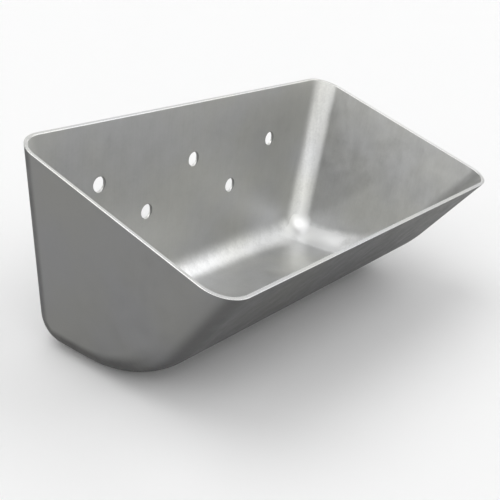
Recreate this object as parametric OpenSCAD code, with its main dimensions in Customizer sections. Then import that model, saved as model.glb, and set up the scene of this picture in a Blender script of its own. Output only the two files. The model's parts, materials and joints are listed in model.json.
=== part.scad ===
// Deep-drawn elevator bucket, pressed from one piece of sheet.
//
// The belt face is the outside of the flat back wall and lies in the XZ plane. +X runs across
// the belt, -Y points away from it and +Z is up along it. The origin is the middle of the upper
// row of bolt holes, on the belt face.
//
// A profile runs from the rim down the belt wall, round the floor and up the leaning front wall.
// Two drafted side walls close it. A ball of one radius, rolled along the inside of both corners,
// gives the radius that joins them to the whole profile. The rim is trimmed in a slanting plane.

/* [Rim] */
// Width across the rim, outside
rim_width = 280; // [220:1:360]
// Reach of the lip from the belt face, outside
projection = 141.5; // [125:0.5:180]
// How far the lip lies below the top of the back wall
lip_drop = 38; // [20:0.5:45]
// Radius that breaks both edges of the trimmed rim
rim_edge_radius = 0.4; // [0.2:0.1:0.8]

/* [Walls] */
// Thickness of the sheet
sheet = 2; // [1.5:0.1:4]
// Height of the back wall, from the rim down to the plane of the underside
back_height = 117.5; // [110:0.5:140]
// Lean of the side walls, outwards going up, in degrees
side_draft = 7.5; // [1:0.5:9]
// Lean of the front wall, outwards going up, in degrees
front_lean = 36.5; // [30:0.5:40]
// Rise of the floor from the belt to the front, in degrees
floor_rise = 1; // [0:0.5:6]

/* [Radii, outside] */
// Between the side walls and the whole profile
corner_radius = 17; // [10:0.5:18]
// Between the belt wall and the floor
floor_back_radius = 20; // [19:0.5:28]
// Between the floor and the front wall
floor_front_radius = 88; // [50:1:95]

/* [Belt bolts] */
// Diameter of the bolt holes
bolt_hole = 9; // [7:0.5:14]
// Spacing of the holes along both rows
bolt_pitch = 80; // [50:1:90]
// Holes in the upper row
upper_holes = 3; // [2:1:3]
// Holes in the lower row, which stand between those of the upper row
lower_holes = 2; // [1:1:2]
// Distance between the two rows
row_spacing = 25.5; // [18:0.5:35]
// Distance of the upper row from the top of the back wall
upper_row_drop = 36.5; // [25:0.5:42]

/* [Smoothness] */
// Points across the radius of a corner
corner_points = 14; // [8:1:20]
// Stations round the radius between the belt wall and the floor
back_stations = 14; // [8:1:20]
// Stations round the radius between the floor and the front wall
front_stations = 18; // [8:1:24]
// Points across each broken edge of the rim
edge_points = 4; // [3:1:5]
// Sides of a bolt hole
hole_sides = 64; // [32:8:96]

/* [Hidden] */

steel = [0.66, 0.66, 0.64];

// How far a cutter stands out of the metal
cutter_clearance = 1;

rim_z = upper_row_drop;
lip_z = rim_z - lip_drop;
floor_z = rim_z - back_height;
rim_slope = atan(lip_drop / projection);
rim_normal = [0, -sin(rim_slope), cos(rim_slope)];

// The outward normal of the profile, which turns from the belt wall to the front wall
function profile_normal(turn) = [0, cos(turn), -sin(turn)];

floor_turn = 90 + floor_rise;
front_turn = 180 - front_lean;
belt_normal = profile_normal(0);
floor_normal = profile_normal(floor_turn);
front_normal = profile_normal(front_turn);

// The side wall at +X holds the whole of the rim's side edge
side_slopes = [1, tan(side_draft) * tan(rim_slope), -tan(side_draft)];
side_normal = side_slopes / norm(side_slopes);
side_distance = side_normal * [rim_width / 2, 0, rim_z];

// Where the planes of the profile cross, and the lip of the front wall
heel = [0, 0, floor_z];
lip = [0, -projection, lip_z];
toe_z = (floor_z + (projection - lip_z * tan(front_lean)) * tan(floor_rise))
    / (1 - tan(front_lean) * tan(floor_rise));
toe = [0, (lip_z - toe_z) * tan(front_lean) - projection, toe_z];

// The axis of a radius that rounds the crossing of two planes of the profile
function bend_axis(crossing, first, second, radius) =
    crossing - (first + second) * radius / (1 + first * second);

back_axis = bend_axis(heel, belt_normal, floor_normal, floor_back_radius);
front_axis = bend_axis(toe, floor_normal, front_normal, floor_front_radius);

// Centre of the rolled ball where it touches the side wall and the profile. p is the point of
// the profile, moved in by the radius of the ball.
function ball_centre(p) =
    [(side_distance - corner_radius - side_normal * p) / side_normal[0], p[1], p[2]];

// A direction part of the way from one normal to another
function between(first, second, share) =
    let (apart = acos(first * second))
    (first * sin(apart * (1 - share)) + second * sin(apart * share)) / sin(apart);

// Points from the profile to the side wall round the rolled ball, on the skin that lies inner_by
// inside the outer skin
function corner_arc(centre, wall_normal, inner_by) =
    [for (i = [0:corner_points - 1])
        centre + (corner_radius - inner_by)
            * between(wall_normal, side_normal, i / (corner_points - 1))];

// A station: the points of both corners, from the side wall at -X to the side wall at +X
function both_corners(arc) = concat(
    [for (i = [len(arc) - 1:-1:0]) [-arc[i][0], arc[i][1], arc[i][2]]],
    arc);

function bend_station(axis, radius, turn, inner_by) =
    let (
        wall_normal = profile_normal(turn),
        centre = ball_centre(axis + (radius - corner_radius) * wall_normal)
    )
    both_corners(corner_arc(centre, wall_normal, inner_by));

function bend_stations(axis, radius, from, to, count, inner_by) =
    [for (i = [0:count - 1])
        bend_station(axis, radius, from + (to - from) * i / (count - 1), inner_by)];

// The station where a flat wall ends, at a depth below the plane of the rim
function rim_station(on_wall, wall_normal, inner_by, depth) =
    let (
        along = cross(wall_normal, side_normal),
        centre = ball_centre(on_wall - corner_radius * wall_normal),
        level = rim_normal * [0, 0, rim_z] - depth
    )
    both_corners([for (p = corner_arc(centre, wall_normal, inner_by))
        p + along * (level - rim_normal * p) / (rim_normal * along)]);

function belt_rim(inner_by, depth) = rim_station([0, 0, 0], belt_normal, inner_by, depth);

function lip_rim(inner_by, depth) = rim_station(lip, front_normal, inner_by, depth);

// All the stations of one skin, from the rim at the belt to the lip
function skin(inner_by) = concat(
    [belt_rim(inner_by, rim_edge_radius)],
    bend_stations(back_axis, floor_back_radius, 0, floor_turn, back_stations, inner_by),
    bend_stations(front_axis, floor_front_radius, floor_turn, front_turn, front_stations,
        inner_by),
    [lip_rim(inner_by, rim_edge_radius)]);

function reversed(list) = [for (i = [len(list) - 1:-1:0]) list[i]];

// A closed loop round the rim
function rim_loop(inner_by, depth) =
    concat(belt_rim(inner_by, depth), reversed(lip_rim(inner_by, depth)));

// Loops up a broken edge of the rim. side is 1 for the outer edge and -1 for the inner one.
function edge_loops(inner_by, side) =
    [for (i = [1:edge_points - 1])
        let (turn = 90 * i / (edge_points - 1))
        rim_loop(inner_by + side * rim_edge_radius * (1 - cos(turn)),
            rim_edge_radius * (1 - sin(turn)))];

// The solid that fills one skin, with loops that close it upwards to a flat lid
module filled(stations, loops) {
    across = len(stations[0]);
    last = len(stations) - 1;
    around = 2 * across;
    skin_points = across * len(stations);
    points = concat([for (s = stations) each s], [for (l = loops) each l]);
    skin_rim = concat(
        [for (i = [0:across - 1]) i],
        [for (i = [across - 1:-1:0]) last * across + i]);
    rims = concat([skin_rim],
        [for (j = [0:len(loops) - 1]) [for (i = [0:around - 1]) skin_points + j * around + i]]);
    skin_faces = [for (j = [0:last - 1]) for (i = [0:across - 2])
        let (a = j * across + i, c = a + across)
        each [[a, c, a + 1], [a + 1, c, c + 1]]];
    side_walls = [
        [for (j = [last:-1:0]) j * across],
        [for (j = [0:last]) j * across + across - 1]];
    edge_faces = [for (j = [0:len(loops) - 1]) for (i = [0:around - 1])
        let (
            k = (i + 1) % around,
            low = rims[j],
            high = rims[j + 1]
        )
        each [[low[i], low[k], high[k]], [low[i], high[k], high[i]]]];
    polyhedron(points, concat(skin_faces, side_walls, edge_faces, [rims[len(rims) - 1]]),
        convexity = 2);
}

// The sheet, drawn to its form and trimmed at the rim
module drawn_sheet() {
    difference() {
        filled(skin(0), edge_loops(0, 1));
        filled(skin(sheet), concat(
            edge_loops(sheet, -1),
            [rim_loop(sheet - rim_edge_radius, -cutter_clearance)]));
    }
}

// Cutters for a row of bolt holes, centred on the bucket
module bolt_row(count, z) {
    for (i = [0:count - 1])
        translate([(i - (count - 1) / 2) * bolt_pitch, cutter_clearance, z])
            rotate([90, 0, 0])
                cylinder(d = bolt_hole, h = sheet + 2 * cutter_clearance, $fn = hole_sides);
}

module bucket() {
    color(steel)
        difference() {
            drawn_sheet();
            bolt_row(upper_holes, 0);
            bolt_row(lower_holes, -row_spacing);
        }
}

bucket();
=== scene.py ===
"""Dresses a deep-drawn conveyor elevator bucket of satin stainless sheet.

The bucket is one pressed piece. Its shell is built here as smooth as the real one, from the
same walls and radii as the solid it stands for, and gets the finish of drawn and trimmed
stainless sheet. A pale floor, soft lamps and the camera complete the studio.
"""

import json
import logging
import math
from dataclasses import dataclass
from enum import Enum
from functools import cache

import bmesh
import bpy
from mathutils import Matrix, Vector


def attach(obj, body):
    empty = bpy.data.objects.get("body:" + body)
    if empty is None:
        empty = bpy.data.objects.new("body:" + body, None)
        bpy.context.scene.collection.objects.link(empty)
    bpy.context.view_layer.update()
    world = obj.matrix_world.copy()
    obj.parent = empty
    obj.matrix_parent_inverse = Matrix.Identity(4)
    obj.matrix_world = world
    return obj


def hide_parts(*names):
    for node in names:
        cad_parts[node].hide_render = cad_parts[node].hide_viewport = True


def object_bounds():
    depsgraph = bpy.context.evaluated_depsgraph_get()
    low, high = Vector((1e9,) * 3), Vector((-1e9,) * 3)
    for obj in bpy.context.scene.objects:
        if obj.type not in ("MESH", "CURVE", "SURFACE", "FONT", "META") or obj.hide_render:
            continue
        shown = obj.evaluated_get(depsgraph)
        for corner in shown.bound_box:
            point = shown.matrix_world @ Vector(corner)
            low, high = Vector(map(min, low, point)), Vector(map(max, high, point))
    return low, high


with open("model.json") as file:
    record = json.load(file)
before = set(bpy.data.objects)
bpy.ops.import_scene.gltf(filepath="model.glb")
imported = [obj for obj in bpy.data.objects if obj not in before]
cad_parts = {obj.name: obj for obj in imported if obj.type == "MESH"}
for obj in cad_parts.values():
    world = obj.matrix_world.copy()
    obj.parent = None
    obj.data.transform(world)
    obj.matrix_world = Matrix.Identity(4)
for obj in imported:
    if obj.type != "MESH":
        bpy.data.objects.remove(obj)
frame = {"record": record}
cad_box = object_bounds()

LOG = logging.getLogger("bucket")
# Names of the two masks on every point of the sheet, of its bending and its place round the
# profile; they place the grain's peel and the painted light
BENT_LAYER = "bent"
DRAWN_LAYER = "drawn"
# Points closer than this are one, in metres
TOUCHING = 1e-7
# Metres in a millimetre, the unit of the mounts' sizes
MM = 0.001
# Numbers of a Mix node's sockets for two colours and for their mix
FIRST_COLOUR, SECOND_COLOUR, MIXED_COLOUR = 6, 7, 2


class Face(Enum):
    """The faces of the sheet, each with the index of its material."""

    OUTSIDE = 0
    INSIDE = 1
    TRIMMED = 2
    # The broken edges of the rim, in the brightest finish as a painted highlight.
    WORN_EDGE = 3


@dataclass(frozen=True)
class Bend:
    """A radius of the profile; its turns are those of the wall's normal, from the belt wall on."""

    axis: Vector
    radius: float
    start: float
    end: float
    steps: int


@dataclass(frozen=True)
class Form:
    """Walls and radii of the pressed bucket, outside, in metres and degrees.

    The belt face is the plane y = 0, -Y points towards the lip and +Z is up along the belt.
    Heights are counted from the upper row of bolt holes.
    """

    rim_width: float = 0.280
    projection: float = 0.1415
    lip_drop: float = 0.038
    rim_height: float = 0.0365
    back_height: float = 0.1175
    sheet: float = 0.002
    side_draft: float = 7.5
    front_lean: float = 36.5
    floor_rise: float = 1.0
    corner_radius: float = 0.017
    floor_back_radius: float = 0.020
    floor_front_radius: float = 0.088
    corner_steps: int = 24
    back_steps: int = 26
    front_steps: int = 30

    @property
    def rim_normal(self) -> Vector:
        """Upward normal of the trimmed rim."""
        return Vector((0.0, -self.lip_drop, self.projection)).normalized()

    @property
    def lip(self) -> Vector:
        """Middle of the lip, outside."""
        return Vector((0.0, -self.projection, self.rim_height - self.lip_drop))

    @property
    def side_normal(self) -> Vector:
        """Outward normal of the side wall at +X, which holds the side of the rim."""
        draft = math.tan(math.radians(self.side_draft))
        return Vector((1.0, draft * self.lip_drop / self.projection, -draft)).normalized()

    @staticmethod
    def profile_normal(turn: float) -> Vector:
        """Outward normal of the profile at a turn from the belt wall."""
        return Vector((0.0, math.cos(turn), -math.sin(turn)))

    def bend(self, crossing: Vector, walls: tuple[float, float], radius: float,
             steps: int) -> Bend:
        """Rounds the crossing of two walls of the profile.

        Args:
            crossing: where the planes of the two walls cross, at x = 0.
            walls: turns of the normals of both walls.
            radius: radius of the bend, outside.
            steps: facets round the bend.

        Returns:
            The bend between the two walls.
        """
        first, second = (self.profile_normal(turn) for turn in walls)
        axis = crossing - (first + second) * radius / (1.0 + first.dot(second))
        return Bend(axis, radius, *walls, steps)

    def bends(self) -> tuple[Bend, Bend]:
        """Finds both radii of the profile.

        Returns:
            The bend behind the floor and the bend in front of it.
        """
        lean, rise = math.radians(self.front_lean), math.radians(self.floor_rise)
        floor_turn, front_turn = math.pi / 2 + rise, math.pi - lean
        floor_z = self.rim_height - self.back_height
        toe_z = (floor_z + (self.projection - self.lip.z * math.tan(lean)) * math.tan(rise)) / (
            1.0 - math.tan(lean) * math.tan(rise))
        toe_y = (self.lip.z - toe_z) * math.tan(lean) - self.projection
        heel, toe = Vector((0.0, 0.0, floor_z)), Vector((0.0, toe_y, toe_z))
        return (
            self.bend(heel, (0.0, floor_turn), self.floor_back_radius, self.back_steps),
            self.bend(toe, (floor_turn, front_turn), self.floor_front_radius, self.front_steps),
        )

    def normal_at(self, point: Vector) -> Vector:
        """Finds the outward normal of the profile.

        Args:
            point: a point of the profile, at x = 0.

        Returns:
            The normal there.
        """
        back, front = self.bends()
        bend = back if point.y > (back.axis.y + front.axis.y) / 2 else front
        out = point - bend.axis
        turn = math.atan2(-out.z, out.y)
        if turn < -math.pi / 2:
            turn += math.tau
        return self.profile_normal(min(max(turn, bend.start), bend.end))

    def bent(self, normal: Vector) -> float:
        """Tells how sharply the profile is bent; a flat has 0 and the corner radius 1.

        Args:
            normal: outward normal of the profile at the place in question.

        Returns:
            The sharpness, which is highest halfway round each bend.
        """
        turn = math.atan2(-normal.z, normal.y)
        for bend in self.bends():
            if bend.start < turn < bend.end:
                share = (turn - bend.start) / (bend.end - bend.start)
                return math.sin(math.pi * share) ** 2 * math.sqrt(self.corner_radius / bend.radius)
        return 0.0

    def drawn(self, normal: Vector) -> float:
        """Tells how far the profile has turned, counted in bends.

        Args:
            normal: outward normal of the profile at the place in question.

        Returns:
            0 on the belt wall, 1 on the floor, 2 on the front wall and parts of 1 between them.
        """
        turn = math.atan2(-normal.z, normal.y)
        return sum(min(max((turn - bend.start) / (bend.end - bend.start), 0.0), 1.0)
                   for bend in self.bends())

    def ball_centre(self, point: Vector, normal: Vector) -> Vector:
        """Centre of the ball that rolls along the corner at +X and touches both of its walls.

        Args:
            point: where the ball touches the profile, at x = 0.
            normal: outward normal of the profile there.

        Returns:
            The centre of the ball.
        """
        inside = point - normal * self.corner_radius
        edge = Vector((self.rim_width / 2, 0.0, self.rim_height))
        room = self.side_normal.dot(edge - inside) - self.corner_radius
        return Vector((room / self.side_normal.x, inside.y, inside.z))


@dataclass(frozen=True)
class Roll:
    """How a point of the profile turns round the ball that forms the corner, and its two masks."""

    centre: Vector
    axis: Vector
    step: float
    bent: float
    drawn: float


# A line of points along the sheet, each with its roll
Line = dict[bmesh.types.BMVert, Roll]


@dataclass(frozen=True)
class BendMasks:
    """Two masks that every point of the sheet carries. They place the grain's peel and streaks,
    and the painted light.

    The first says how sharply the sheet is bent there: 0 on a flat, 1 in a corner radius, and more
    where a bend of the profile runs into it. The second says how far round the profile the point
    lies: 0 on the belt wall, 1 on the floor, 2 on the front wall and -1 on a side wall. By both,
    the finishes paint highlights inside and shade outside.

    Attributes:
        reach: how far a corner's mark reaches out onto the floor, in metres.
        begun: strength of the mark where the corner leaves the floor.
        belt_lean: skew of the mark towards the side wall, beside the belt wall.
        floor_lean: the same beside the floor; under 1 it leans towards the floor.
        swell: how much the mark overshoots before it is cut off at 1, which widens it.
        front_fade: share of the mark that is lost on the way to the front wall.
        floor_side: extra mask in the corner radius beside the floor, which brightens the painted
            highlight there.
    """

    reach: float = 0.007
    begun: float = 0.6
    belt_lean: float = 1.4
    floor_lean: float = 0.8
    swell: float = 1.2
    front_fade: float = 0.85
    floor_side: float = 0.3

    def bent(self, roll: Roll, share: float, begun: float) -> float:
        """Tells how sharply the sheet is bent at a point of the corner.

        Args:
            roll: how the point of the profile turned to get there.
            share: how much of the corner's turn it has made.
            begun: strength of the mark where the corner leaves the floor.

        Returns:
            The first value of the mark.
        """
        left, to_floor = 1.0 - share, min(roll.drawn, 1.0)
        lean = self.belt_lean + (self.floor_lean - self.belt_lean) * to_floor
        swollen = begun * left * to_floor + self.swell * math.sin(math.pi * share ** lean)
        rounded = min(1.0, swollen) * (1.0 - self.front_fade * max(roll.drawn - 1.0, 0.0))
        beside_floor = self.floor_side * max(1.0 - abs(roll.drawn - 1.0), 0.0)
        return max(rounded, roll.bent * left) + rounded * max(roll.bent, beside_floor)

    def write(self, bm: bmesh.types.BMesh, line: Line, share: float, begun: float) -> None:
        """Writes both values on a line of the sheet.

        Args:
            bm: the bmesh that holds the sheet.
            line: vertices of the line, with the roll of each.
            share: how much of the corner's turn they have made.
            begun: strength of the mark where the corner leaves the floor.
        """
        bent, drawn = (bm.verts.layers.float[name] for name in (BENT_LAYER, DRAWN_LAYER))
        for vert, roll in line.items():
            vert[bent] = self.bent(roll, share, begun)
            vert[drawn] = roll.drawn * (1.0 - share) - share


@dataclass(frozen=True)
class BoltHoles:
    """The punched belt bolt holes, in metres; their places and sizes come from the mounts.

    The lower side of a hole's wall takes the bright trimmed finish as a painted highlight, and the
    rest keeps the dark outside finish as painted shade.

    Attributes:
        edge_break: radius that breaks both edges of a hole.
        lit_depth: depth sheared clean at the lowest side, in thicknesses of the sheet.
        bands: bands down the wall of a hole.
        reach: how far a punch stands out of the sheet.
        margin: radii from a hole's axis within which the punch's own values of both masks are
            cleared.
        break_steps: facets round a broken edge.
        round_steps: facets round a hole.
    """

    edge_break: float = 0.00035
    lit_depth: float = 1.1
    bands: int = 8
    reach: float = 0.004
    margin: float = 2.0
    break_steps: int = 5
    round_steps: int = 96

    @staticmethod
    @cache
    def places() -> tuple[tuple[Vector, float], ...]:
        """Reads the holes from the mounts.

        Returns:
            Centre of each hole on the belt face, with its radius.
        """
        found = []
        for mount in frame["record"]["mounts"]:
            centre, dims = Vector(mount["pos_m"]), mount["dims"]
            if mount["kind"] == "bolt_pattern":
                half = Vector((dims["spacing_x_mm"] * MM / 2, 0.0, 0.0))
                radius = dims["hole_r_mm"] * MM
                found += [(centre - half, radius), (centre + half, radius)]
            elif mount["kind"] == "bore":
                found.append((Vector((centre.x, 0.0, centre.z)), dims["r_mm"] * MM))
        return tuple(found)

    def profile(self, radius: float, sheet: float) -> list[Vector]:
        """Draws half the outline of one punch, flared at both faces of the sheet.

        Args:
            radius: radius of the hole.
            sheet: thickness of the sheet.

        Returns:
            Points from the belt side inwards, out from the hole's axis.
        """
        wide = radius + self.edge_break
        turns = [math.pi / 2 * i / self.break_steps for i in range(self.break_steps + 1)]
        outer = [Vector((wide - self.edge_break * math.sin(t),
                         -self.edge_break * (1.0 - math.cos(t)), 0.0)) for t in turns]
        inner = [Vector((p.x, -sheet - p.y, 0.0)) for p in reversed(outer)]
        depths = [sheet * i / self.bands for i in range(self.bands)]
        bore = [Vector((radius, -depth, 0.0)) for depth in depths
                if self.edge_break < depth < sheet - self.edge_break]
        ends = self.reach, -sheet - self.reach
        return [Vector((0.0, ends[0], 0.0)), Vector((wide, ends[0], 0.0)), *outer, *bore, *inner,
                Vector((wide, ends[1], 0.0)), Vector((0.0, ends[1], 0.0))]

    def out_of_hole(self, point: Vector) -> tuple[Vector, float]:
        """Finds the way in X and Z to a point from the nearest hole, and the hole's radius."""
        place, radius = min(self.places(), key=lambda hole: (hole[0] - point).xz.length)
        return (point - place).xz, radius

    def is_painted_lit(self, point: Vector, sheet: float) -> bool:
        """Tells whether a hole in a sheet of this thickness takes the painted highlight at a
        point.
        """
        out = self.out_of_hole(point)[0].normalized()
        return -point.y < -out.y * self.lit_depth * sheet

    def unmark(self, mesh: bpy.types.Mesh) -> None:
        """Clears both masks round the holes, where the punch left values of its own.

        Args:
            mesh: the punched shell.
        """
        layers = [mesh.attributes[name].data for name in (BENT_LAYER, DRAWN_LAYER)]
        for vert in mesh.vertices:
            out, radius = self.out_of_hole(vert.co)
            if out.length < self.margin * radius:
                for layer in layers:
                    layer[vert.index].value = 0.0

    def punches(self, sheet: float) -> bpy.types.Object:
        """Builds all the punches.

        Args:
            sheet: thickness of the sheet.

        Returns:
            One object that cuts all the holes.
        """
        bm = bmesh.new()
        for place, radius in self.places():
            chain = [bm.verts.new(place + point) for point in self.profile(radius, sheet)]
            edges = [bm.edges.new(pair) for pair in zip(chain, chain[1:])]
            bmesh.ops.spin(bm, geom=chain + edges, cent=place, axis=(0.0, 1.0, 0.0),
                           angle=math.tau, steps=self.round_steps, use_merge=True)
        bmesh.ops.remove_doubles(bm, verts=bm.verts, dist=TOUCHING)
        bmesh.ops.recalc_face_normals(bm, faces=bm.faces)
        for face in bm.faces:
            # Painted light: the lower side of each bore takes the bright trimmed finish as a
            # highlight, and the rest the dark outside finish as shade.
            lit_side = self.is_painted_lit(face.calc_center_median(), sheet)
            face.material_index = (Face.TRIMMED if lit_side else Face.OUTSIDE).value
        return new_object("punches", bm)


def new_object(name: str, bm: bmesh.types.BMesh) -> bpy.types.Object:
    """Turns a bmesh into an object at the origin and frees it.

    Args:
        name: name of the object and its mesh.
        bm: the finished bmesh.

    Returns:
        The linked object.
    """
    mesh = bpy.data.meshes.new(name)
    bm.to_mesh(mesh)
    bm.free()
    made = bpy.data.objects.new(name, mesh)
    bpy.context.collection.objects.link(made)
    return made


@dataclass(frozen=True)
class Texture:
    """A noise texture of the steel, with what it does where it shows at a level of 1.

    Attributes:
        per_m: waves per metre.
        layers: finer layers on top of the first.
        fineness: strength of each layer against the one below.
        shade: how far it varies the shade, as a share.
        dullness: how far it varies the roughness.
        relief: strength of its relief.
        depth: depth of its relief in metres.
    """

    per_m: float
    layers: float
    fineness: float
    shade: float = 0.0
    dullness: float = 0.0
    relief: float = 0.0
    depth: float = 0.0


GRAIN = Texture(620.0, 4.0, 0.62, shade=0.10, dullness=0.10, relief=0.20, depth=0.00008)
DRAW_LINES = Texture(900.0, 3.0, 0.55, shade=0.08, dullness=0.10, relief=0.16, depth=0.00005)
BLOTCHES = Texture(105.0, 3.0, 0.55, shade=0.14, dullness=0.16, relief=0.10, depth=0.0005)
STREAKS = Texture(190.0, 2.0, 0.5, shade=0.35)
CLOUDS = Texture(15.75, 2.0, 0.5)


class Chart:
    """A small writer of shader nodes for one material or world."""

    def __init__(self, tree: bpy.types.NodeTree) -> None:
        """Empties the tree and keeps it."""
        self.tree = tree
        tree.nodes.clear()

    def add(self, kind: str, inputs: dict[str | int, object], **settings: object
            ) -> bpy.types.Node:
        """Adds a node.

        Args:
            kind: type of the node.
            inputs: values or sockets for its inputs, by name or number.
            settings: properties of the node itself.

        Returns:
            The new node.
        """
        node = self.tree.nodes.new(kind)
        for key, value in settings.items():
            setattr(node, key, value)
        for key, value in inputs.items():
            if isinstance(value, bpy.types.NodeSocket):
                self.tree.links.new(value, node.inputs[key])
            else:
                node.inputs[key].default_value = value
        return node

    def noise(self, place: bpy.types.NodeSocket, texture: Texture) -> bpy.types.NodeSocket:
        """Adds the noise of a texture.

        Args:
            place: coordinates of the noise.
            texture: the texture.

        Returns:
            Its grey output.
        """
        return self.add("ShaderNodeTexNoise", {
            "Vector": place, "Scale": texture.per_m, "Detail": texture.layers,
            "Roughness": texture.fineness}).outputs["Fac"]

    def layer(self, name: str) -> bpy.types.NodeSocket:
        """Reads a value that every point of the mesh carries."""
        return self.add("ShaderNodeAttribute", {}, attribute_name=name).outputs["Fac"]

    def ramp(self, value: bpy.types.NodeSocket, none: float, full: float) -> bpy.types.NodeSocket:
        """Adds a smooth ramp.

        Args:
            value: the value that runs along it.
            none: where the ramp is at 0.
            full: where it is at 1, which may be the lower of the two.

        Returns:
            The height of the ramp.
        """
        return self.add("ShaderNodeMapRange", {
            "Value": value, "From Min": none, "From Max": full},
            interpolation_type="SMOOTHSTEP").outputs["Result"]

    def math(self, operation: str, *values: object) -> bpy.types.NodeSocket:
        """Adds a sum, product or the like and returns its result."""
        return self.add("ShaderNodeMath", dict(enumerate(values)), operation=operation).outputs[0]

    def vary(self, base: object, pattern: bpy.types.NodeSocket, amount: object
             ) -> bpy.types.NodeSocket:
        """Varies a value by a pattern, half of it up and half down."""
        return self.math("MULTIPLY_ADD", self.math("SUBTRACT", pattern, 0.5), amount, base)

    def bump(self, height: bpy.types.NodeSocket, strength: object, depth: float,
             normal: bpy.types.NodeSocket | None = None) -> bpy.types.NodeSocket:
        """Adds a relief, on top of another if there is one.

        Args:
            height: the pattern of the relief.
            strength: how strongly it shows.
            depth: its depth in metres.
            normal: normal of the relief below it.

        Returns:
            The new normal.
        """
        inputs = {"Strength": strength, "Distance": depth, "Height": height}
        if normal:
            inputs["Normal"] = normal
        return self.add("ShaderNodeBump", inputs).outputs["Normal"]


@dataclass(frozen=True)
class Patterns:
    """The patterns of one material, and the masked places where it takes painted highlights and
    painted shade.
    """

    grain: bpy.types.NodeSocket
    lines: bpy.types.NodeSocket
    streaks: bpy.types.NodeSocket
    blotches: bpy.types.NodeSocket
    clouds: bpy.types.NodeSocket
    coarse: bpy.types.NodeSocket
    in_bend: bpy.types.NodeSocket
    in_corner: bpy.types.NodeSocket
    off_belt_wall: bpy.types.NodeSocket
    on_side_wall: bpy.types.NodeSocket


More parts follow.
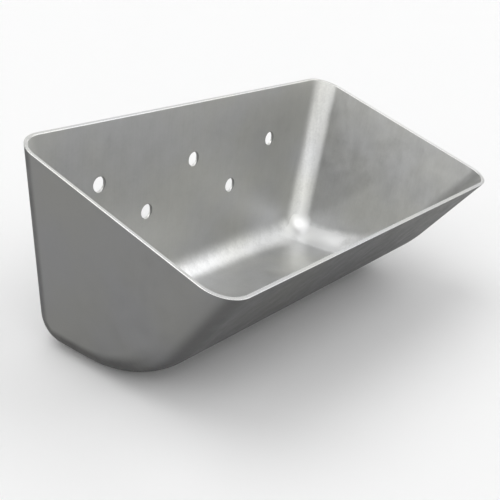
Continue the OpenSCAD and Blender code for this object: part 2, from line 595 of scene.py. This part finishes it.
@dataclass(frozen=True)
class SatinSteel:
    """Finish of one face of the stainless sheet: satin grain, draw lines and soft blotches.

    The bends carry an orange peel and soft streaks. The masked bends, corners, floor, front and
    side walls are brightened as painted highlights. Where the factor is below 0 they are darkened
    as painted shade.

    Attributes:
        name: name of the material.
        tone: colour where no painted light falls.
        roughness: mean roughness.
        painted_light: painted highlight on the bends, as a share; below 0 it is painted shade.
        corner_painted_light: the same where two bends meet, and beside the floor.
        drawn_painted_light: the same on the floor and the front wall.
        side_painted_light: the same on the side walls.
        grain: level of the grain.
        draw_lines: level of the draw lines.
        blotches: level of the blotches.
        peel: how much coarser the grain is in the bends, as a share.
        stretch: scale of the lines and streaks along them.
        corner_edges: bending at which the painted highlight of the corners starts and is full.
        cloud_edges: heights of the clouds at which the cool and the warm tint are full.
        cool: tint of the cool clouds.
        warm: tint of the warm clouds.
        brightest: the most that the steel reflects.
    """

    name: str
    tone: tuple[float, float, float]
    roughness: float
    painted_light: float = 0.0
    corner_painted_light: float = 0.0
    drawn_painted_light: float = 0.0
    side_painted_light: float = 0.0
    grain: float = 1.0
    draw_lines: float = 1.0
    blotches: float = 1.0
    peel: float = 1.5
    stretch: float = 0.03
    corner_edges: tuple[float, float] = (1.05, 1.4)
    cloud_edges: tuple[float, float] = (0.35, 0.65)
    cool: tuple[float, float, float] = (0.985, 0.99, 1.01)
    warm: tuple[float, float, float] = (1.01, 1.01, 0.985)
    brightest: float = 0.96

    def patterns(self, chart: Chart) -> Patterns:
        """Adds the patterns, and reads the marks of drawing.

        Args:
            chart: the chart of the material.

        Returns:
            The patterns.
        """
        place = chart.add("ShaderNodeTexCoord", {}).outputs["Object"]
        upright = chart.add("ShaderNodeMapping", {
            "Vector": place, "Scale": (1.0, 1.0, self.stretch)}).outputs["Vector"]
        bent, drawn = chart.layer(BENT_LAYER), chart.layer(DRAWN_LAYER)
        in_bend = chart.ramp(bent, 0.0, 1.0)
        return Patterns(
            grain=chart.noise(place, GRAIN),
            lines=chart.noise(upright, DRAW_LINES),
            streaks=chart.noise(upright, STREAKS),
            blotches=chart.noise(place, BLOTCHES),
            clouds=chart.noise(place, CLOUDS),
            coarse=chart.math("MULTIPLY_ADD", in_bend, self.peel * self.grain, self.grain),
            in_bend=in_bend,
            in_corner=chart.ramp(bent, *self.corner_edges),
            off_belt_wall=chart.ramp(drawn, 0.0, 1.0),
            on_side_wall=chart.ramp(drawn, 0.0, -1.0),
        )

    def shade(self, chart: Chart, seen: Patterns) -> bpy.types.NodeSocket:
        """Works out how bright the steel is against its tone, painted light and shade included.

        Args:
            chart: the chart of the material.
            seen: its patterns.

        Returns:
            The brightness, where 1 is the tone itself.
        """
        shade = chart.vary(1.0, seen.grain, chart.math("MULTIPLY", seen.coarse, GRAIN.shade))
        shade = chart.vary(shade, seen.lines, DRAW_LINES.shade * self.draw_lines)
        shade = chart.vary(shade, seen.streaks,
                           chart.math("MULTIPLY", seen.in_bend, STREAKS.shade))
        shade = chart.vary(shade, seen.blotches, BLOTCHES.shade * self.blotches)
        # Painted light: each masked place is brightened as a painted highlight, or darkened as
        # painted shade where its factor is below 0.
        for place, painted_light in (
                (seen.in_bend, self.painted_light),
                (seen.in_corner, self.corner_painted_light),
                (seen.off_belt_wall, self.drawn_painted_light),
                (seen.on_side_wall, self.side_painted_light)):
            shade = chart.math("MULTIPLY", shade, chart.math("MULTIPLY_ADD", place, painted_light, 1.0))
        return chart.math("MINIMUM", shade, self.brightest / self.tone[0])

    def colour(self, chart: Chart, seen: Patterns) -> bpy.types.NodeSocket:
        """Works out the colour: the tone with its clouds, as bright as the shade.

        Args:
            chart: the chart of the material.
            seen: its patterns.

        Returns:
            The colour.
        """
        cool, warm = ((*(part * share for part, share in zip(self.tone, tint)), 1.0)
                      for tint in (self.cool, self.warm))
        tinted = chart.add("ShaderNodeMix", {
            "Factor": chart.ramp(seen.clouds, *self.cloud_edges),
            FIRST_COLOUR: cool, SECOND_COLOUR: warm}, data_type="RGBA").outputs[MIXED_COLOUR]
        return chart.add("ShaderNodeVectorMath", {
            0: tinted, "Scale": self.shade(chart, seen)}, operation="SCALE").outputs["Vector"]

    def dullness(self, chart: Chart, seen: Patterns) -> bpy.types.NodeSocket:
        """Works out the roughness.

        Args:
            chart: the chart of the material.
            seen: its patterns.

        Returns:
            The roughness.
        """
        dull = chart.vary(self.roughness, seen.blotches, BLOTCHES.dullness * self.blotches)
        dull = chart.vary(dull, seen.lines, DRAW_LINES.dullness * self.draw_lines)
        return chart.vary(dull, seen.grain, GRAIN.dullness * self.grain)

    def relief(self, chart: Chart, seen: Patterns) -> bpy.types.NodeSocket:
        """Works out the relief of the surface.

        Args:
            chart: the chart of the material.
            seen: its patterns.

        Returns:
            The normal.
        """
        coarse = chart.math("MULTIPLY", seen.coarse, GRAIN.relief)
        normal = chart.bump(seen.grain, coarse, GRAIN.depth)
        normal = chart.bump(seen.lines, DRAW_LINES.relief * self.draw_lines, DRAW_LINES.depth,
                            normal)
        return chart.bump(seen.blotches, BLOTCHES.relief * self.blotches, BLOTCHES.depth, normal)

    def material(self) -> bpy.types.Material:
        """Builds the material.

        Returns:
            The node-based material.
        """
        made = bpy.data.materials.new(self.name)
        made.use_nodes = True
        chart = Chart(made.node_tree)
        seen = self.patterns(chart)
        steel = chart.add("ShaderNodeBsdfPrincipled", {
            "Base Color": self.colour(chart, seen), "Metallic": 1.0,
            "Roughness": self.dullness(chart, seen), "Normal": self.relief(chart, seen)})
        chart.add("ShaderNodeOutputMaterial", {"Surface": steel.outputs["BSDF"]})
        return made


@dataclass
class Bucket:
    """The pressed bucket: its shell, the punched holes and its finish.

    Attributes:
        form: walls and radii.
        holes: the bolt holes.
        finishes: finish of each face of the sheet.
        masks: the two masks on the sheet, which place the grain's peel and the painted light of
            the bends.
        trim_allowance: how far the sheet is drawn past the rim before it is trimmed.
        rim_break: radius that breaks both edges of the rim.
        rim_break_steps: facets round that radius.
        flat_weight: how strongly the larger faces settle the shading, so that flats look flat.
    """

    form: Form
    holes: BoltHoles
    finishes: dict[Face, SatinSteel]
    marks: BendMasks = BendMasks()
    trim_allowance: float = 0.006
    rim_break: float = 0.0004
    rim_break_steps: int = 4
    flat_weight: int = 100

    @staticmethod
    def lay_flat(bm: bmesh.types.BMesh, tip: bmesh.types.BMVert,
                 end: Vector) -> bmesh.types.BMVert:
        """Carries the profile on in a straight line.

        Args:
            bm: the bmesh that holds the profile.
            tip: where the profile ends.
            end: where it goes.

        Returns:
            The new tip.
        """
        made = bmesh.ops.extrude_vert_indiv(bm, verts=[tip])["verts"][0]
        made.co = end
        return made

    def bend_profile(self, bm: bmesh.types.BMesh) -> None:
        """Bends the middle line of the sheet, from above the rim at the belt to past the lip.

        Args:
            bm: the empty bmesh that takes it.
        """
        form = self.form
        tip = bm.verts.new((0.0, 0.0, form.rim_height + self.trim_allowance))
        for bend in form.bends():
            tip = self.lay_flat(bm, tip, bend.axis + form.profile_normal(bend.start) * bend.radius)
            turned = bmesh.ops.spin(bm, geom=[tip], cent=bend.axis, axis=(-1.0, 0.0, 0.0),
                                    angle=bend.end - bend.start, steps=bend.steps)
            tip = turned["geom_last"][0]
        rising = (form.lip - tip.co).normalized()
        self.lay_flat(bm, tip, form.lip + rising * self.trim_allowance)

    def rolls(self, bm: bmesh.types.BMesh) -> Line:
        """Finds how each point of the profile turns round the ball of the corner.

        Args:
            bm: the bmesh that holds the profile.

        Returns:
            The line of the profile.
        """
        form, line = self.form, {}
        for vert in bm.verts:
            normal = form.normal_at(vert.co)
            line[vert] = Roll(form.ball_centre(vert.co, normal), normal.cross(form.side_normal),
                              normal.angle(form.side_normal) / form.corner_steps,
                              form.bent(normal), form.drawn(normal))
        return line

    @staticmethod
    def edges_along(bm: bmesh.types.BMesh, line: Line) -> list[bmesh.types.BMEdge]:
        """Finds the edges that join the points of a line, in the order of the bmesh."""
        return [edge for edge in bm.edges if all(vert in line for vert in edge.verts)]

    @classmethod
    def widen(cls, bm: bmesh.types.BMesh, line: Line) -> Line:
        """Extrudes a line of the sheet.

        Args:
            bm: the bmesh that holds the sheet.
            line: vertices of the line, with the roll of each.

        Returns:
            The vertices of the new line, with the rolls of those they came from.
        """
        made = bmesh.ops.extrude_edge_only(bm, edges=cls.edges_along(bm, line))["geom"]
        fresh = [v for v in made if isinstance(v, bmesh.types.BMVert)]
        return {v: next(line[e.other_vert(v)] for e in v.link_edges if e.other_vert(v) in line)
                for v in fresh}

    def roll_corner(self, bm: bmesh.types.BMesh) -> None:
        """Widens the profile to +X, rolls the corner radius and fills the side wall.

        Args:
            bm: the bmesh that holds the profile.
        """
        steps, marks = self.form.corner_steps, self.marks
        for name in (BENT_LAYER, DRAWN_LAYER):
            bm.verts.layers.float.new(name)
        line = self.rolls(bm)
        marks.write(bm, line, 0.0, 0.0)
        for before, begun in ((marks.reach, 0.0), (0.0, marks.begun)):
            line = self.widen(bm, line)
            for vert, roll in line.items():
                vert.co.x = roll.centre.x - before
            marks.write(bm, line, 0.0, begun)
        for step in range(1, steps + 1):
            line = self.widen(bm, line)
            for vert, roll in line.items():
                bmesh.ops.rotate(bm, verts=[vert], cent=roll.centre,
                                 matrix=Matrix.Rotation(roll.step, 3, roll.axis))
            marks.write(bm, line, step / steps, marks.begun)
        edges = self.edges_along(bm, line)
        ends = [v for v in line if sum(e in edges for e in v.link_edges) == 1]
        bmesh.ops.contextual_create(bm, geom=[*edges, bm.edges.new(ends)])

    @staticmethod
    def join_halves(bm: bmesh.types.BMesh) -> None:
        """Mirrors the half of the sheet to -X and turns all its faces outwards.

        Args:
            bm: the bmesh that holds the half at +X.
        """
        half = [*bm.verts, *bm.edges, *bm.faces]
        bmesh.ops.mirror(bm, geom=half, matrix=Matrix.Identity(4), merge_dist=TOUCHING, axis="X")
        middle = [e for e in bm.edges if all(abs(v.co.x) < TOUCHING for v in e.verts)]
        bmesh.ops.dissolve_edges(bm, edges=middle, use_verts=True)
        bmesh.ops.recalc_face_normals(bm, faces=bm.faces)
        lowest = min(bm.faces, key=lambda face: face.calc_center_median().z)
        if lowest.normal.z > 0.0:
            bmesh.ops.reverse_faces(bm, faces=bm.faces)

    def thicken(self, bm: bmesh.types.BMesh) -> None:
        """Gives the sheet its thickness.

        Args:
            bm: the bmesh that holds the outside face.
        """
        outside = bm.faces[:]
        bmesh.ops.solidify(bm, geom=outside, thickness=self.form.sheet)
        for face in set(bm.faces).difference(outside):
            face.material_index = Face.INSIDE.value

    def trim_rim(self, bm: bmesh.types.BMesh) -> None:
        """Trims the sheet in the slanting plane of the rim and breaks both edges of the cut.

        Args:
            bm: the bmesh that holds the sheet.
        """
        cut = bmesh.ops.bisect_plane(
            bm, geom=[*bm.verts, *bm.edges, *bm.faces], dist=TOUCHING, clear_outer=True,
            plane_co=(0.0, 0.0, self.form.rim_height), plane_no=self.form.rim_normal)
        rim = [e for e in cut["geom_cut"] if isinstance(e, bmesh.types.BMEdge)]
        for face in bmesh.ops.bridge_loops(bm, edges=rim)["faces"]:
            face.material_index = Face.TRIMMED.value
        broken = bmesh.ops.bevel(bm, geom=rim, offset=self.rim_break,
                                 segments=self.rim_break_steps, profile=0.5, affect="EDGES",
                                 material=-1, clamp_overlap=False)
        # The broken rim edges take the brightest finish, a painted highlight.
        for face in broken["faces"]:
            face.material_index = Face.WORN_EDGE.value

    def draw_shell(self) -> bpy.types.Object:
        """Draws and trims the shell of the bucket.

        Returns:
            The shell, which has no holes yet.
        """
        bm = bmesh.new()
        self.bend_profile(bm)
        self.roll_corner(bm)
        self.join_halves(bm)
        self.thicken(bm)
        self.trim_rim(bm)
        return new_object("bucket_shell", bm)

    def punch(self, shell: bpy.types.Object) -> None:
        """Cuts the bolt holes through the back wall and keeps the result as the shell's mesh.

        Args:
            shell: the shell.
        """
        blank, punches = shell.data, self.holes.punches(self.form.sheet)
        cut = shell.modifiers.new("punch", "BOOLEAN")
        cut.operation = "DIFFERENCE"
        cut.solver = "EXACT"
        cut.object = punches
        graph = bpy.context.evaluated_depsgraph_get()
        pierced = bpy.data.meshes.new_from_object(shell.evaluated_get(graph))
        self.holes.unmark(pierced)
        shell.modifiers.clear()
        shell.data = pierced
        for spent in (blank, punches.data):
            bpy.data.meshes.remove(spent)

    def make(self) -> bpy.types.Object:
        """Builds and dresses the bucket.

        Returns:
            The finished piece, riding on its body.
        """
        shell = self.draw_shell()
        self.punch(shell)
        for face in shell.data.polygons:
            face.use_smooth = True
        weighted = shell.modifiers.new("even_flats", "WEIGHTED_NORMAL")
        weighted.mode = "FACE_AREA"
        weighted.weight = self.flat_weight
        for face in Face:
            shell.data.materials.append(self.finishes[face].material())
        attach(shell, "root")
        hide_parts("bucket")
        return shell


@dataclass(frozen=True)
class PaleFloor:
    """Finish of the studio floor, which can be seen through from below.

    Attributes:
        tone: how much of the light it throws back onto the bucket.
        seen: how pale it looks, directly and in reflections.
    """

    tone: float = 0.80
    seen: float = 0.93

    def material(self) -> bpy.types.Material:
        """Builds the floor's material.

        Returns:
            The material.
        """
        made = bpy.data.materials.new("pale_floor")
        made.use_nodes = True
        chart = Chart(made.node_tree)
        path = chart.add("ShaderNodeLightPath", {}).outputs
        straight = chart.math("MAXIMUM", path["Is Camera Ray"], path["Is Glossy Ray"])
        straight = chart.math("MAXIMUM", straight, path["Is Transmission Ray"])
        shade = chart.math("MULTIPLY_ADD", straight, self.seen - self.tone, self.tone)
        matt = chart.add("ShaderNodeBsdfDiffuse", {"Color": shade})
        clear = chart.add("ShaderNodeBsdfTransparent", {})
        under = chart.add("ShaderNodeNewGeometry", {}).outputs["Backfacing"]
        mix = chart.add("ShaderNodeMixShader", {
            0: under, 1: matt.outputs[0], 2: clear.outputs[0]})
        chart.add("ShaderNodeOutputMaterial", {"Surface": mix.outputs[0]})
        return made


@dataclass(frozen=True)
class Lamp:
    """A wide soft lamp far away.

    Attributes:
        name: name of the lamp.
        azimuth: where it hangs round the bucket, in degrees from +X towards +Y.
        elevation: how high it hangs, in degrees.
        width: how wide it looks from the bucket, in degrees.
        level: how bright it makes a white face that is square to it, where 1 is white.
    """

    name: str
    azimuth: float
    elevation: float
    width: float
    level: float

    def hang(self) -> bpy.types.Object:
        """Hangs the lamp, which shines at the bucket.

        Returns:
            The lamp.
        """
        lamp = bpy.data.lights.new(self.name, "SUN")
        lamp.energy = self.level * math.pi
        lamp.angle = math.radians(self.width)
        made = bpy.data.objects.new(self.name, lamp)
        bpy.context.collection.objects.link(made)
        azimuth, elevation = math.radians(self.azimuth), math.radians(self.elevation)
        toward = Vector((math.cos(azimuth) * math.cos(elevation),
                         math.sin(azimuth) * math.cos(elevation), math.sin(elevation)))
        made.rotation_mode = "QUATERNION"
        made.rotation_quaternion = toward.to_track_quat("Z", "Y")
        return made


@dataclass
class Studio:
    """The floor, the lamps, the world and the camera, in metres and degrees.

    Attributes:
        floor_radius: radius of the flat floor.
        cove_radius: radius of the cove in which it rises to the wall.
        wall_height: height of the wall.
        cove_steps: facets up the cove.
        round_steps: facets round the floor.
        lamps: the lamps.
        sky: strength of the even light from all round.
        camera_place: where the camera stands.
        camera_azimuth: how far it has turned to the left of looking along +Y.
        camera_elevation: how far it looks down.
        camera_roll: how far it is tilted.
        camera_range: nearest and farthest distance that it shows.
        lens: its focal length in millimetres.
    """

    floor_radius: float = 5.0
    cove_radius: float = 1.2
    wall_height: float = 2.4
    cove_steps: int = 16
    round_steps: int = 96
    lamps: tuple[Lamp, ...] = (
        Lamp("front", 235.0, 45.0, 50.0, 0.215),
        Lamp("left", 176.0, 28.0, 50.0, 0.24),
        Lamp("right", 325.0, 42.0, 50.0, 0.215),
        Lamp("behind", 35.0, 32.0, 50.0, 0.105),
        Lamp("overhead", 120.0, 66.0, 50.0, 0.29),
    )
    sky: float = 0.27
    camera_place: tuple[float, float, float] = (-0.41001, -0.33701, 0.16855)
    camera_azimuth: float = -55.213
    camera_elevation: float = 23.109
    camera_roll: float = 6.625
    camera_range: tuple[float, float] = (0.01, 50.0)
    lens: float = 63.973

    def sweep_floor(self, bm: bmesh.types.BMesh) -> None:
        """Sweeps the floor, the cove and the wall round the bucket.

        Args:
            bm: the empty bmesh that takes them.
        """
        middle = Vector((0.0, 0.0, cad_box[0].z))
        foot = bm.verts.new(middle + Vector((self.floor_radius, 0.0, 0.0)))
        tip = bmesh.ops.spin(bm, geom=[foot], cent=foot.co + Vector((0.0, 0.0, self.cove_radius)),
                             axis=(0.0, -1.0, 0.0), angle=math.pi / 2,
                             steps=self.cove_steps)["geom_last"][0]
        top = bmesh.ops.extrude_vert_indiv(bm, verts=[tip])["verts"][0]
        top.co.z = middle.z + self.wall_height
        centre = bmesh.ops.extrude_vert_indiv(bm, verts=[foot])["verts"][0]
        centre.co = middle
        bmesh.ops.spin(bm, geom=[*bm.verts, *bm.edges], cent=middle, axis=(0.0, 0.0, 1.0),
                       angle=math.tau, steps=self.round_steps, use_merge=True)
        bmesh.ops.remove_doubles(bm, verts=bm.verts, dist=TOUCHING)

    def lay_floor(self) -> bpy.types.Object:
        """Lays the floor under the lowest point of the bucket.

        It casts no shadow, so the lamps shine in over its wall.

        Returns:
            The floor.
        """
        bm = bmesh.new()
        self.sweep_floor(bm)
        bmesh.ops.recalc_face_normals(bm, faces=bm.faces)
        flat = min(bm.faces, key=lambda face: face.calc_center_median().xy.length)
        if flat.normal.z < 0.0:
            bmesh.ops.reverse_faces(bm, faces=bm.faces)
        for face in bm.faces:
            face.smooth = True
        floor = new_object("floor", bm)
        floor.visible_shadow = False
        floor.data.materials.append(PaleFloor().material())
        return floor

    def fill_world(self) -> None:
        """Fills the studio with even pale light."""
        world = bpy.data.worlds.new("studio")
        world.use_nodes = True
        bpy.context.scene.world = world
        chart = Chart(world.node_tree)
        back = chart.add("ShaderNodeBackground", {
            "Color": (1.0, 1.0, 1.0, 1.0), "Strength": self.sky})
        chart.add("ShaderNodeOutputWorld", {"Surface": back.outputs[0]})

    def place_camera(self) -> bpy.types.Object:
        """Stands the camera in its place.

        Returns:
            The camera.
        """
        lens = bpy.data.cameras.new("camera")
        lens.lens = self.lens
        lens.clip_start, lens.clip_end = self.camera_range
        camera = bpy.data.objects.new("camera", lens)
        bpy.context.collection.objects.link(camera)
        azimuth, elevation = math.radians(self.camera_azimuth), math.radians(self.camera_elevation)
        ahead = Vector((-math.sin(azimuth) * math.cos(elevation),
                        math.cos(azimuth) * math.cos(elevation), -math.sin(elevation)))
        right = Vector((math.cos(azimuth), math.sin(azimuth), 0.0))
        up = right.cross(ahead)
        level = Matrix((right, up, -ahead)).transposed()
        roll = Matrix.Rotation(math.radians(self.camera_roll), 3, "Z")
        camera.matrix_world = Matrix.Translation(self.camera_place) @ (level @ roll).to_4x4()
        bpy.context.scene.camera = camera
        return camera


def steel_finishes() -> dict[Face, SatinSteel]:
    """Chooses the finish of each face of the sheet.

    Returns:
        The finishes.
    """
    return {
        # One stainless sheet: the outside has half the inside's tone as painted shade. Its
        # negative factors paint shade on its bends, floor and front wall. The inside's factors
        # paint highlights on its bends, corners, floor, front and side walls.
        Face.OUTSIDE: SatinSteel("satin_outside", (0.246, 0.246, 0.243), 0.56, painted_light=-0.58,
                                 drawn_painted_light=-0.46, grain=1.4, draw_lines=1.6, blotches=3.0),
        Face.INSIDE: SatinSteel("satin_inside", (0.486, 0.486, 0.479), 0.42, painted_light=0.54,
                                corner_painted_light=0.75, drawn_painted_light=0.46, side_painted_light=0.31,
                                grain=1.3, draw_lines=1.6, blotches=1.4),
        Face.TRIMMED: SatinSteel("trimmed_edge", (0.76, 0.76, 0.75), 0.34, draw_lines=0.4),
        Face.WORN_EDGE: SatinSteel("rim_edge_painted_highlight", (0.84, 0.84, 0.83), 0.24, draw_lines=0.4),
    }


def main() -> None:
    """Builds the bucket and the studio, and reports each piece."""
    logging.basicConfig(level=logging.INFO, format="%(name)s: %(message)s")
    bpy.context.scene.view_settings.view_transform = "Standard"
    bucket = Bucket(Form(), BoltHoles(), steel_finishes()).make()
    LOG.info("%s: %d vertices, %d faces", bucket.name, len(bucket.data.vertices),
             len(bucket.data.polygons))
    studio = Studio()
    floor = studio.lay_floor()
    LOG.info("%s: %.1f m wide", floor.name, 2 * studio.floor_radius)
    for lamp in studio.lamps:
        LOG.info("%s: lamp %.0f degrees wide", lamp.hang().name, lamp.width)
    studio.fill_world()
    camera = studio.place_camera()
    LOG.info("%s: %.1f mm lens", camera.name, camera.data.lens)


if __name__ == "__main__":
    main()
